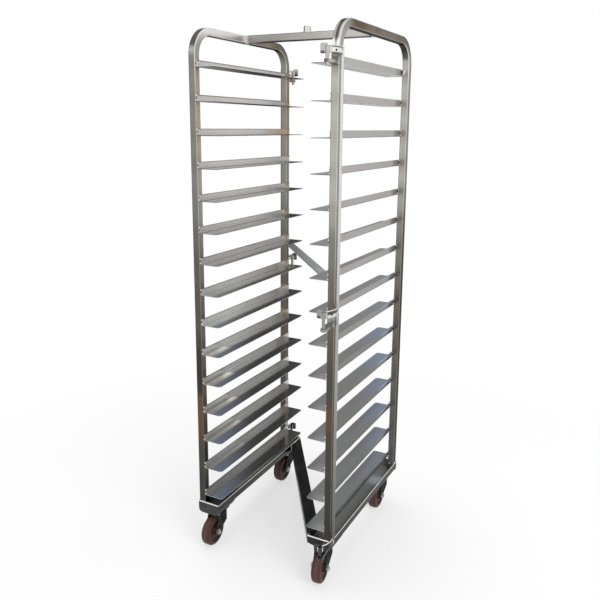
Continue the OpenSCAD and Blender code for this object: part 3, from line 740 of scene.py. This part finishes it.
def screw_tree():
    """Tree that sets a screw head on every point, along the point's facing."""
    tree = Tree("screw_on_point", Head="Object", Size="Float", Finish="Material")
    node = tree.node
    settings = {"data_type": "FLOAT_VECTOR"}
    facing = node("GeometryNodeInputNamedAttribute", settings, {"Name": "facing"})
    turn = node("FunctionNodeAlignRotationToVector", {"axis": "Z"}, {"Vector": facing})
    head = node("GeometryNodeObjectInfo", inputs={0: tree.given("Head")}, output="Geometry")
    points = node("GeometryNodeMeshToPoints", inputs={0: tree.given("Geometry")})
    inputs = {"Points": points, "Instance": head, "Rotation": turn, "Scale": tree.given("Size")}
    return tree.close(node("GeometryNodeInstanceOnPoints", inputs=inputs))


def grown(name, mesh, tree, values):
    """Plain mesh object that a tree makes from a start mesh."""
    start = add_object(name, mesh)
    modifier = start.modifiers.new("grow", "NODES")
    modifier.node_group = tree
    for item in tree.interface.items_tree:
        if item.in_out == "INPUT" and item.name in values:
            modifier[item.identifier] = values[item.name]
    bpy.context.view_layer.update()
    done = start.evaluated_get(bpy.context.evaluated_depsgraph_get())
    result = bpy.data.meshes.new_from_object(done)
    if not result.polygons:
        raise RuntimeError(f"{name} came out empty")
    start.modifiers.remove(modifier)
    start.data = result
    result.name = name
    return start


def plain_mesh(name, points, edges=(), faces=()):
    """Mesh from lists of points, edges and faces."""
    mesh = bpy.data.meshes.new(name)
    mesh.from_pydata(points, edges, faces)
    return mesh


def path_mesh(name, paths):
    """Edges along each path. A path whose last point is its first is closed."""
    points, edges = [], []
    for path in paths:
        closed = path[0] == path[-1]
        used = path[:-1] if closed else path
        first = len(points)
        points += used
        edges += [(first + i, first + i + 1) for i in range(len(used) - 1)]
        if closed:
            edges.append((len(points) - 1, first))
    return plain_mesh(name, points, edges)


def beads(name, paths, radius, body, finish="weld_bead", ripple=0.13, taper=1.0):
    """Beads or rims along paths, riding on a body."""
    welds = bpy.context.scene.rack_welds
    tree = bpy.data.node_groups.get("bead_along_path") or bead_tree()
    values = {
        "Radius": radius,
        "Ripple": ripple,
        "Step": welds.ripple / 4,
        "Taper": taper,
        "Seed": welds.seed,
        "Finish": bpy.data.materials[finish],
    }
    place_piece(grown(name, path_mesh(name, paths), tree, values), body)


def node_points(name):
    """Corner points of a CAD node."""
    return [v.co for v in frame["nodes"][name].data.vertices]


def upright(x, y, low, high):
    """Vertical path."""
    return [(x, y, low), (x, y, high)]


def runner_weld_paths():
    """Short beads at the foot and top of a runner's leg, where each end crosses a post."""
    bead = 0.0055
    lows = [low for z in TIER_Z for low in (z + 0.0025, z + RUNNER_LEG - bead)]
    spots = ((POST_IN + 0.0012, POST_BACK + STAND_OFF), (POST_IN - 0.0006, RUNNER_END + 0.0008))
    rows = product(lows, SIGNS, SIGNS, spots)
    return [upright(side * x, end * y, low, low + bead) for low, side, end, (x, y) in rows]


def heavy_weld_paths():
    """Thick beads on the right rear post: at the top runner and at its foot."""
    x, y, z = POST_IN + 0.007, POST_BACK - 0.0005, TIER_Z[0] + RUNNER_LEG / 2
    top = [(x - 0.001, y, z - 0.006), (x + 0.002, y, z + 0.01)]
    foot = [(x - 0.001, y, TRAY_RIM), (x + 0.004, y, TRAY_RIM + 0.001)]
    return [top, foot]


def frame_weld_paths():
    """Beads of the top bar, lift pin, post feet, mid brace and base diagonal."""
    half, foot = BAR_HALF - STOP_SHORT, TRAY_RIM + STAND_OFF
    for side in SIGNS:
        x = side * (POST_IN - STAND_OFF)
        for y in (-BAR_HALF - 0.0002, BAR_HALF + 0.0002):
            yield upright(x, y, BAR_LOW + STOP_SHORT, FRAME_TOP - 0.003)
        for z in (BAR_LOW, FRAME_TOP - 0.0022):
            yield [(x, -half, z), (x, half, z)]
        x = side * (POST_OUT + STAND_OFF)
        for end in SIGNS:
            y = end * (POST_FACE + STAND_OFF)
            yield [(x, end * (POST_BACK + 0.003), foot), (x, end * (POST_FACE - 0.003), foot)]
            yield [(side * (POST_IN + 0.003), y, foot), (side * (POST_OUT - 0.003), y, foot)]
    ring = [tuple(polar(PIN_RADIUS, step / 24, FRAME_TOP)) for step in range(24)]
    yield ring + ring[:1]
    yield from brace_weld_paths()
    yield from diagonal_weld_paths()


def brace_weld_paths():
    """Beads along the mid brace's edges where it lies under its runners."""
    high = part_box("mid_brace")[1]
    corners = node_points("mid_brace")
    ends = [c for c in corners if abs(c.x) > high.x - 0.001 or abs(c.y) > high.y - 0.001]
    front_end = Vector((RUNNER_TIP + 0.029, -0.228, 0.0))
    along = front_end.normalized()
    across = Vector((-along.y, along.x, 0.0))
    half = max(c.dot(across) for c in ends)
    reach = max(c.dot(along) for c in ends)
    z = high.z - 0.0006
    for way, side in product(SIGNS, SIGNS):
        edge = across * (side * half)
        tip = along * (way * (reach - 0.003)) + edge
        start = along * (way * (RUNNER_TIP + 0.006 - way * edge.x) / along.x) + edge
        yield [(*start.xy, z), (*tip.xy, z)]


def diagonal_weld_paths():
    """Beads round both ends of the base diagonal."""
    low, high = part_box("base_diagonal")
    inner = max(c.y for c in node_points("base_diagonal") if c.x > high.x - 1e-4)
    for way in SIGNS:
        x = way * (TRAY_IN - STAND_OFF)
        near, far = way * inner, way * (0.004 - TRAY_END)
        y = near + way * STAND_OFF
        yield upright(x, y, low.z + STOP_SHORT, high.z - STOP_SHORT)
        for z in (high.z, low.z):
            yield [(x, near, z), (x, far, z)]


def bracket_weld_paths():
    """Beads down both sides of each gate bracket's back plate, front and rear."""
    for (low, high, face), x in product(bracket_spans(), (POST_IN + STOP_SHORT, POST_OUT - STOP_SHORT)):
        bead = upright(x, face - STAND_OFF, low + STOP_SHORT, high - STOP_SHORT)
        yield from (bead, half_turn(bead))


def bracket_spans():
    """Foot, top and back face of the front brackets' back plates, measured on the CAD node."""
    points = node_points("gate_brackets")
    for face in (-TRAY_END, -POST_FACE):
        heights = sorted({round(p.z, 4) for p in points if abs(p.y - face) < 1e-4})
        gaps = [i for i in range(1, len(heights)) if heights[i] - heights[i - 1] > 0.2]
        for first, after in zip([0, *gaps], [*gaps, len(heights)]):
            yield heights[first], heights[after - 1], face


class ArmArc:
    """Plan of a gate arm: the arc from the hinge axis to the rod."""

    def __init__(self, bow=0.009):
        start = HINGE.xy
        end = ((ROD_LOW + ROD_HIGH) / 2).xy
        chord = end - start
        self.radius = chord.length ** 2 / (8 * bow) + bow / 2
        out = Vector((chord.y, -chord.x)).normalized()
        self.centre = (start + end) / 2 - out * (self.radius - bow)
        first, last = start - self.centre, end - self.centre
        self.first = math.atan2(first.y, first.x)
        self.turn = math.atan2(last.y, last.x) - self.first

    def outward(self, share):
        """Direction away from the centre at a share of the arc."""
        angle = self.first + share * self.turn
        return Vector((math.cos(angle), math.sin(angle)))

    def point(self, share, offset=0.0):
        """Point at a share of the arc, offset outwards."""
        return self.centre + self.outward(share) * (self.radius + offset)


def arm_spans():
    """Foot and top of each front gate arm's strip, measured on the CAD node."""
    middle = ArmArc().point(0.5)
    points = node_points("front_gate_arms")
    heights = sorted({round(p.z, 4) for p in points if (p.xy - middle).length < 0.02})
    return list(zip(heights[::2], heights[1::2]))


def gate_weld_paths():
    """Beads between hub, strip, thumb plate and rod of the front gate."""
    arc = ArmArc()
    for (low, high), offset in product(arm_spans(), (-0.0019, 0.0019)):
        plate = (HINGE.x - 0.0066, HINGE.y + offset)
        for x, y in (arc.point(0.105, offset), arc.point(0.95, offset), plate):
            yield upright(x, y, low + STOP_SHORT, high - STOP_SHORT)


def arm_edge_paths():
    """Rounded upper edges of the front gate's arms."""
    arc, inset = ArmArc(), -0.0015
    plan = [arc.point(0.1 + 0.82 * i / 16, inset) for i in range(17)]
    return [[(*point, high) for point in plan] for low, high in arm_spans()]


def rim_paths(along):
    """Upper rims of both trays: the long sides, or else the ends."""
    inset = 0.001
    z, end = TRAY_RIM - 0.0006, TRAY_END - inset
    for side in SIGNS:
        near, far = side * (TRAY_IN + inset), side * (TRAY_OUT - inset)
        if along:
            yield from ([(x, -end, z), (x, end, z)] for x in (near, far))
        else:
            yield from ([(near, y, z), (far, y, z)] for y in (-end, end))


def polar(radius, share, height):
    """Point at a share of a whole turn round Z."""
    angle = math.tau * share
    return Vector((radius * math.cos(angle), radius * math.sin(angle), height))


def lathe(work, profile, matrix, segments=40):
    """Closed round solid from (radius, height) pairs, first and last on the axis."""
    rings = []
    for radius, height in profile:
        count = 1 if radius < 1e-7 else segments
        points = [polar(radius, step / segments, height) for step in range(count)]
        rings.append([work.verts.new(matrix @ point) for point in points])
    bridge_rings(work, rings, segments)


def bridge_rings(work, rings, segments):
    """Faces between rings of points, where a ring of one point is a pole."""
    for (first, second), step in product(zip(rings, rings[1:]), range(segments)):
        after = (step + 1) % segments
        corners = [first[i % len(first)] for i in (step, after)]
        corners += [second[i % len(second)] for i in (after, step)]
        unique = list(dict.fromkeys(corners))
        if len(unique) > 2:
            work.faces.new(unique)


def hexagon(work, flats, low, high, matrix, bore=1e-4, segments=48):
    """Hexagon head or nut with the round chamfers of a turned bar."""
    apothem = flats / 2
    flat_r = apothem * 0.96
    slope = math.tan(math.radians(30))
    # Height, radius and slope of each ring. A ring with no radius follows the hexagon.
    rows = ((low, bore, 0), (low, flat_r, 0), (low, None, slope))
    rows += ((high, None, -slope), (high, flat_r, 0), (high, bore, 0))
    rings = []
    for height, radius, rise in rows:
        ring = []
        for step in range(segments):
            turn = (math.tau * step / segments + math.pi / 6) % (math.pi / 3) - math.pi / 6
            reach = apothem / math.cos(turn)
            point = polar(radius or reach, step / segments, height + (reach - flat_r) * rise)
            ring.append(work.verts.new(matrix @ point))
        rings.append(ring)
    bridge_rings(work, rings + rings[:1], segments)


def axle_matrix(corner):
    """Frame at the middle of a wheel with Z along its axle, outwards to the nut."""
    joint = JOINTS[f"{corner}_roll"]
    axis = Vector(joint["axis"]).normalized()
    if axis.x < 0:
        axis = -axis
    turn = axis.to_track_quat("Z", "Y").to_matrix().to_4x4()
    return Matrix.Translation(Vector(joint["pos_m"])) @ turn


def finished_mesh(work, name):
    """Mesh from working geometry, with its faces turned outwards."""
    bmesh.ops.remove_doubles(work, verts=work.verts, dist=1e-7)
    bmesh.ops.recalc_face_normals(work, faces=work.faces)
    made = bpy.data.meshes.new(name)
    work.to_mesh(made)
    work.free()
    return made


def axle_mesh(corner, sizes):
    """Axle bolt with washers, locking nut and a threaded end."""
    matrix = axle_matrix(corner)
    work = bmesh.new()
    leg, washer, edge = 0.023, 0.0016, 0.0004
    head_end, tail_end, nut_top = leg + 0.0075, leg + 0.0105, leg + 0.0066
    shaft, radius, pitch = sizes.axle_d / 2, sizes.washer_d / 2, sizes.thread_pitch
    z = leg + 0.004
    profile = [(0.0, -head_end + 0.003), (shaft, -head_end + 0.003), (shaft, z)]
    while z + pitch < tail_end - 0.001:
        profile += [(shaft, z + 0.3 * pitch), (shaft * 0.87, z + 0.65 * pitch)]
        z += pitch
    profile += [(shaft, z), (shaft, tail_end - 0.0008), (shaft * 0.8, tail_end), (0.0, tail_end)]
    lathe(work, profile, matrix)
    for side in SIGNS:
        near, far = side * leg, side * (leg + washer)
        plan = [(shaft, near), (radius - edge, near), (radius, near + side * edge)]
        plan += [(radius, far - side * edge), (radius - edge, far), (shaft, far), (shaft, near)]
        lathe(work, plan, matrix)
    hexagon(work, sizes.nut_flats, -head_end, -leg - washer, matrix)
    hexagon(work, sizes.nut_flats, leg + washer, nut_top, matrix, shaft)
    collar, collar_top = sizes.nut_flats * 0.43, nut_top + 0.0021
    plan = [(shaft, nut_top), (collar, nut_top), (collar, nut_top + 0.0012)]
    plan += [(collar - 0.0008, collar_top), (shaft + 0.0002, collar_top), (shaft, nut_top)]
    lathe(work, plan, matrix)
    return finished_mesh(work, f"{corner}_axle_set")


def smooth_by_angle(mesh):
    """Smooth shading with sharp edges above an angle."""
    mesh.shade_smooth()
    mesh.set_sharp_from_angle(angle=SMOOTH_ANGLE)


def screw_head_mesh():
    """Button head screw one unit wide, with a round socket, facing +Z."""
    work = bmesh.new()
    profile = [(0.0, 0.02), (0.22, 0.02), (0.24, 0.2), (0.3, 0.24)]
    profile += [(0.42, 0.16), (0.5, 0.0), (0.5, -0.1), (0.0, -0.1)]
    lathe(work, profile, Matrix.Identity(4), 12)
    return finished_mesh(work, "screw_head")


def make_camera(context):
    """Camera of the photograph, found from runner ends, posts and wheels."""
    yaw, pitch, roll = (math.radians(a) for a in (27.37, 11.95, -0.6))
    place = (1.0579, -2.0094, 1.4547)
    focal_px, centre_px = 665.16, Vector((309.71, 266.71))
    data = bpy.data.cameras.new("photo_camera")
    data.sensor_width = 36.0
    data.lens = focal_px / PHOTO_PIXELS * data.sensor_width
    data.shift_x = 0.5 - centre_px.x / PHOTO_PIXELS
    data.shift_y = centre_px.y / PHOTO_PIXELS - 0.5
    data.clip_end = 100.0
    camera = add_object("photo_camera", data)
    matrix = Matrix.Translation(place)
    for angle, axis in ((yaw, "Z"), (math.pi / 2 - pitch, "X"), (-roll, "Z")):
        matrix = matrix @ Matrix.Rotation(angle, 4, axis)
    camera.matrix_world = matrix
    context.scene.camera = camera


def seen(graph):
    """1 for rays that show the background: from the camera, in gloss and through glass."""
    rays = graph.node("ShaderNodeLightPath").socket.node.outputs
    names = ("Is Camera Ray", "Is Glossy Ray", "Is Transmission Ray")
    camera, glossy, through = (Value(graph, rays[name]) for name in names)
    return (camera + glossy + through).up(0.0, 1.0)


def make_world(context, stage):
    """Even white light, at full strength where it is seen."""
    world = bpy.data.worlds.new("pale_studio")
    world.use_nodes = True
    graph = Graph(world.node_tree)
    strength = stage.ambient + (1.0 - stage.ambient) * seen(graph)
    inputs = {"Color": (1.0, 1.0, 1.0, 1.0), "Strength": strength}
    light = graph.node("ShaderNodeBackground", inputs=inputs)
    graph.node("ShaderNodeOutputWorld", inputs={"Surface": light})
    context.scene.world = world


def make_floor(stage):
    """White floor that takes a soft shadow under the rack."""
    size = 40.0
    corners = [(-size, -size, 0), (size, -size, 0), (size, size, 0), (-size, size, 0)]
    paint = Finish("pale_floor", stage.floor)
    away = paint.vector("LENGTH", paint.place, output=1)
    clear = away.up(0.4, 1.8) * 0.4 + 0.6
    paint.tint((0.78, 0.78, 0.78), paint.noise(60.0, 2.0))
    matt = paint.node("ShaderNodeBsdfDiffuse", inputs={"Color": paint.colour})
    white = paint.node("ShaderNodeEmission", inputs={"Strength": 1.0})
    inputs = {0: seen(paint) * clear, 1: matt, 2: white}
    material = paint.show(paint.node("ShaderNodeMixShader", inputs=inputs))
    make_sheet("floor", corners, material)


def make_cards(stage):
    """Surroundings that only the metal mirrors: ends in plan, heights and tones."""
    cards = {
        "left_wall": ((-3.4, 2.0), (-1.04, 2.0), 0.0, 2.5, WALL_TONES),
        "middle_wall": ((-1.04, 2.0), (0.1, 2.0), 0.0, 2.5, stage.card_pale),
        "right_wall": ((0.1, 2.0), (0.8, 2.0), 0.0, 2.5, stage.card_grey),
        "left": ((-3.2, -2.4), (-3.2, 1.9), 0.0, 2.5, stage.card_dark),
        "bar": ((-3.3, -2.5), (-1.0, -3.7), 2.5, 3.9, stage.card_bar),
        "front": ((-0.4, -4.2), (3.4, -4.2), 0.2, 3.0, stage.card_bright),
        "right": ((3.4, -4.2), (3.4, 1.6), 0.2, 3.0, stage.card_bright),
        "ceiling": ((-3.2, -1.9), (-0.4, 1.6), 3.2, 3.2, CEILING_TONES),
    }
    for name, card in cards.items():
        make_card(f"{name}_card", *card)


def make_card(name, start, end, low, high, tones):
    """Card that shows only in gloss, upright or level, in one tone or in tones by X in metres."""
    (x0, y0), (x1, y1) = start, end
    if low == high:
        corners = [(x0, y0, low), (x1, y0, low), (x1, y1, low), (x0, y1, low)]
    else:
        corners = [(x0, y0, low), (x1, y1, low), (x1, y1, high), (x0, y0, high)]
    paint = Finish(name)
    if isinstance(tones, tuple):
        stops = [((x - x0) / (x1 - x0), tone) for x, tone in tones]
        inputs = {"Color": paint.axes[0].up(x0, x1).steps(*stops), "Strength": 1.0}
    else:
        inputs = {"Strength": tones}
    material = paint.show(paint.node("ShaderNodeEmission", inputs=inputs))
    card = make_sheet(name, corners, material)
    card.visible_camera = False
    card.visible_diffuse = False
    card.visible_shadow = False


def make_sheet(name, corners, material):
    """Four-cornered face on the stage."""
    mesh = plain_mesh(name, corners, faces=[(0, 1, 2, 3)])
    mesh.materials.append(material)
    sheet = add_object(name, mesh)
    return sheet


def make_lamp(name, place, size, power):
    """Square lamp aimed at the middle of the rack."""
    data = bpy.data.lights.new(name, "AREA")
    data.shape = "SQUARE"
    data.size = size
    data.energy = power
    lamp = add_object(name, data)
    lamp.location = place
    lamp.visible_glossy = False
    way = Vector((0.0, 0.0, 0.9)) - Vector(place)
    lamp.rotation_euler = way.to_track_quat("-Z", "Y").to_euler()


class RACK_OT_stage(bpy.types.Operator):
    """Makes the camera, the floor, the world and the lamps"""

    bl_idname = "rack.stage"
    bl_label = "Stage"

    def execute(self, context):
        stage = context.scene.rack_stage
        context.scene.view_settings.view_transform = "Standard"
        make_camera(context)
        make_world(context, stage)
        make_floor(stage)
        make_lamp("key_lamp", (3.2, -1.6, 2.6), 2.4, stage.key_power)
        make_lamp("top_lamp", (-0.6, 0.4, 4.2), 2.6, stage.top_power)
        make_cards(stage)
        return {"FINISHED"}


class RACK_OT_frame(bpy.types.Operator):
    """Finishes the tube frame"""

    bl_idname = "rack.tube_frame"
    bl_label = "Tube frame"

    def execute(self, context):
        tube = post_finish(context.scene.rack_finish)
        dress(tube, "left_side_frame", "right_side_frame", "top_cross_bar")
        return {"FINISHED"}


class RACK_OT_runners(bpy.types.Operator):
    """Finishes the runners and the mid brace"""

    bl_idname = "rack.runners"
    bl_label = "Runners"

    def execute(self, context):
        colours = context.scene.rack_finish
        sides = product(("left", "right"), range(1, TIERS + 1))
        dress(sheet_finish(colours), *(f"{side}_runner_{i:02d}" for side, i in sides))
        brushed = base_finish("brace_sheet", colours.brace, (0.36, 0.37, 0.37), metal=0.55)
        dress(brushed, "mid_brace")
        return {"FINISHED"}


class RACK_OT_base(bpy.types.Operator):
    """Finishes the trays, the diagonal and the pads, and rounds the rims"""

    bl_idname = "rack.base"
    bl_label = "Base"

    def execute(self, context):
        colours = context.scene.rack_finish
        tray = base_finish("base_sheet", colours.tray, (0.05, 0.05, 0.048), colours.painted_light_tray_floor)
        dress(tray, "left_base_tray", "right_base_tray", "caster_pads")
        dress(base_finish("scaled_tube", colours.diagonal, (0.014, 0.014, 0.014)), "base_diagonal")
        polished_finish(colours)
        rim = context.scene.rack_welds.rim
        beads("tray_rims", rim_paths(True), rim, "frame", *ROUNDED)
        beads("tray_end_rims", rim_paths(False), 1.7 * rim, "frame", *ROUNDED)
        return {"FINISHED"}


class RACK_OT_gates(bpy.types.Operator):
    """Finishes the gates and their brackets, and rounds the arms' edges"""

    bl_idname = "rack.gates"
    bl_label = "Gates"

    def execute(self, context):
        colours = context.scene.rack_finish
        dress(gate_finish("gate_steel", colours.gate_low, colours.gate_high, 0.85), "gate_brackets")
        drawn = gate_finish("rod_steel", colours.rod_low, colours.rod_high)
        dress(drawn, "lift_pin", "front_gate_rod", "rear_gate_rod")
        dress(arm_finish(colours), "front_gate_arms", "rear_gate_arms")
        radius = context.scene.rack_welds.arm_edge
        for gate, turned in GATES.items():
            paths = map(turned, arm_edge_paths())
            beads(f"{gate}_arm_edges", paths, radius, f"{gate}_gate", *ROUNDED)
        return {"FINISHED"}


class RACK_OT_casters(bpy.types.Operator):
    """Finishes the plates, bolts, king pins, forks and wheels"""

    bl_idname = "rack.casters"
    bl_label = "Casters"

    def execute(self, context):
        colours = context.scene.rack_finish
        forks = [f"{corner}_fork" for corner in CORNERS]
        dress(fork_finish(colours), "caster_plates", "king_pins", *forks)
        dress(zinc_finish(colours), "caster_bolts", "caster_nuts")
        for corner in CORNERS:
            dress(wheel_finish(colours, corner), f"{corner}_wheel")
        return {"FINISHED"}


class RACK_OT_axles(bpy.types.Operator):
    """Replaces each plain axle by a bolt with washers, locking nut and thread"""

    bl_idname = "rack.axles"
    bl_label = "Axles"

    def execute(self, context):
        for corner in CORNERS:
            mesh = axle_mesh(corner, context.scene.rack_hardware)
            smooth_by_angle(mesh)
            mesh.materials.append(bpy.data.materials["zinc_plating"])
            piece = add_object(f"{corner}_axle_set", mesh)
            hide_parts(f"{corner}_axle")
            place_piece(piece, f"{corner}_caster")
        return {"FINISHED"}


class RACK_OT_welds(bpy.types.Operator):
    """Lays the weld beads of the frame, the base and the gates"""

    bl_idname = "rack.welds"
    bl_label = "Welds"

    def execute(self, context):
        welds = context.scene.rack_welds
        bead_finish(context.scene.rack_finish)
        beads("runner_welds", runner_weld_paths(), welds.runner_bead, "frame")
        beads("frame_welds", frame_weld_paths(), welds.frame_bead, "frame")
        beads("heavy_welds", heavy_weld_paths(), 2 * welds.frame_bead, "frame")
        beads("bracket_welds", bracket_weld_paths(), welds.gate_bead, "frame")
        for gate, turned in GATES.items():
            paths = map(turned, gate_weld_paths())
            beads(f"{gate}_gate_welds", paths, welds.gate_bead, f"{gate}_gate")
        return {"FINISHED"}


class RACK_OT_screws(bpy.types.Operator):
    """Sets a small screw in the outer face of each gate arm"""

    bl_idname = "rack.screws"
    bl_label = "Screws"

    def execute(self, context):
        head = add_object("screw_head", screw_head_mesh())
        tree = screw_tree()
        arc, share = ArmArc(), 0.4
        plan = arc.point(share, 0.0015)
        spots = [(*plan, (low + high) / 2) for low, high in arm_spans()]
        facing = [(*arc.outward(share), 0.0)] * len(spots)
        values = {
            "Head": head,
            "Size": context.scene.rack_hardware.screw_d,
            "Finish": bpy.data.materials["dark_plating"],
        }
        for gate, turned in GATES.items():
            mesh = plain_mesh(f"{gate}_arm_screws", turned(spots))
            facings = mesh.attributes.new("facing", "FLOAT_VECTOR", "POINT")
            facings.data.foreach_set("vector", [v for way in turned(facing) for v in way])
            piece = grown(f"{gate}_arm_screws", mesh, tree, values)
            smooth_by_angle(piece.data)
            place_piece(piece, f"{gate}_gate")
        bpy.data.objects.remove(head)
        return {"FINISHED"}


class RACK_PT_sidebar(bpy.types.Panel):
    """Steps that dress the rack, in order"""

    bl_idname = "RACK_PT_sidebar"
    bl_label = "Pan Rack"
    bl_space_type = "VIEW_3D"
    bl_region_type = "UI"
    bl_category = "Pan Rack"

    def draw(self, context):
        for operator in OPERATORS:
            self.layout.operator(operator.bl_idname)


OPERATORS = (
    RACK_OT_stage,
    RACK_OT_frame,
    RACK_OT_runners,
    RACK_OT_base,
    RACK_OT_gates,
    RACK_OT_casters,
    RACK_OT_axles,
    RACK_OT_welds,
    RACK_OT_screws,
)
GROUPS = {
    "rack_finish": RackFinish,
    "rack_welds": RackWelds,
    "rack_hardware": RackHardware,
    "rack_stage": RackStage,
}
CLASSES = (*GROUPS.values(), *OPERATORS, RACK_PT_sidebar)
register_classes, unregister_classes = bpy.utils.register_classes_factory(CLASSES)


def register():
    register_classes()
    for name, group in GROUPS.items():
        setattr(bpy.types.Scene, name, PointerProperty(type=group))


def unregister():
    for name in GROUPS:
        delattr(bpy.types.Scene, name)
    unregister_classes()


def main():
    register()
    bpy.ops.rack.stage()
    bpy.ops.rack.tube_frame()
    bpy.ops.rack.runners()
    bpy.ops.rack.base()
    bpy.ops.rack.gates()
    bpy.ops.rack.casters()
    bpy.ops.rack.axles()
    bpy.ops.rack.welds()
    bpy.ops.rack.screws()


if __name__ == "__main__":
    main()
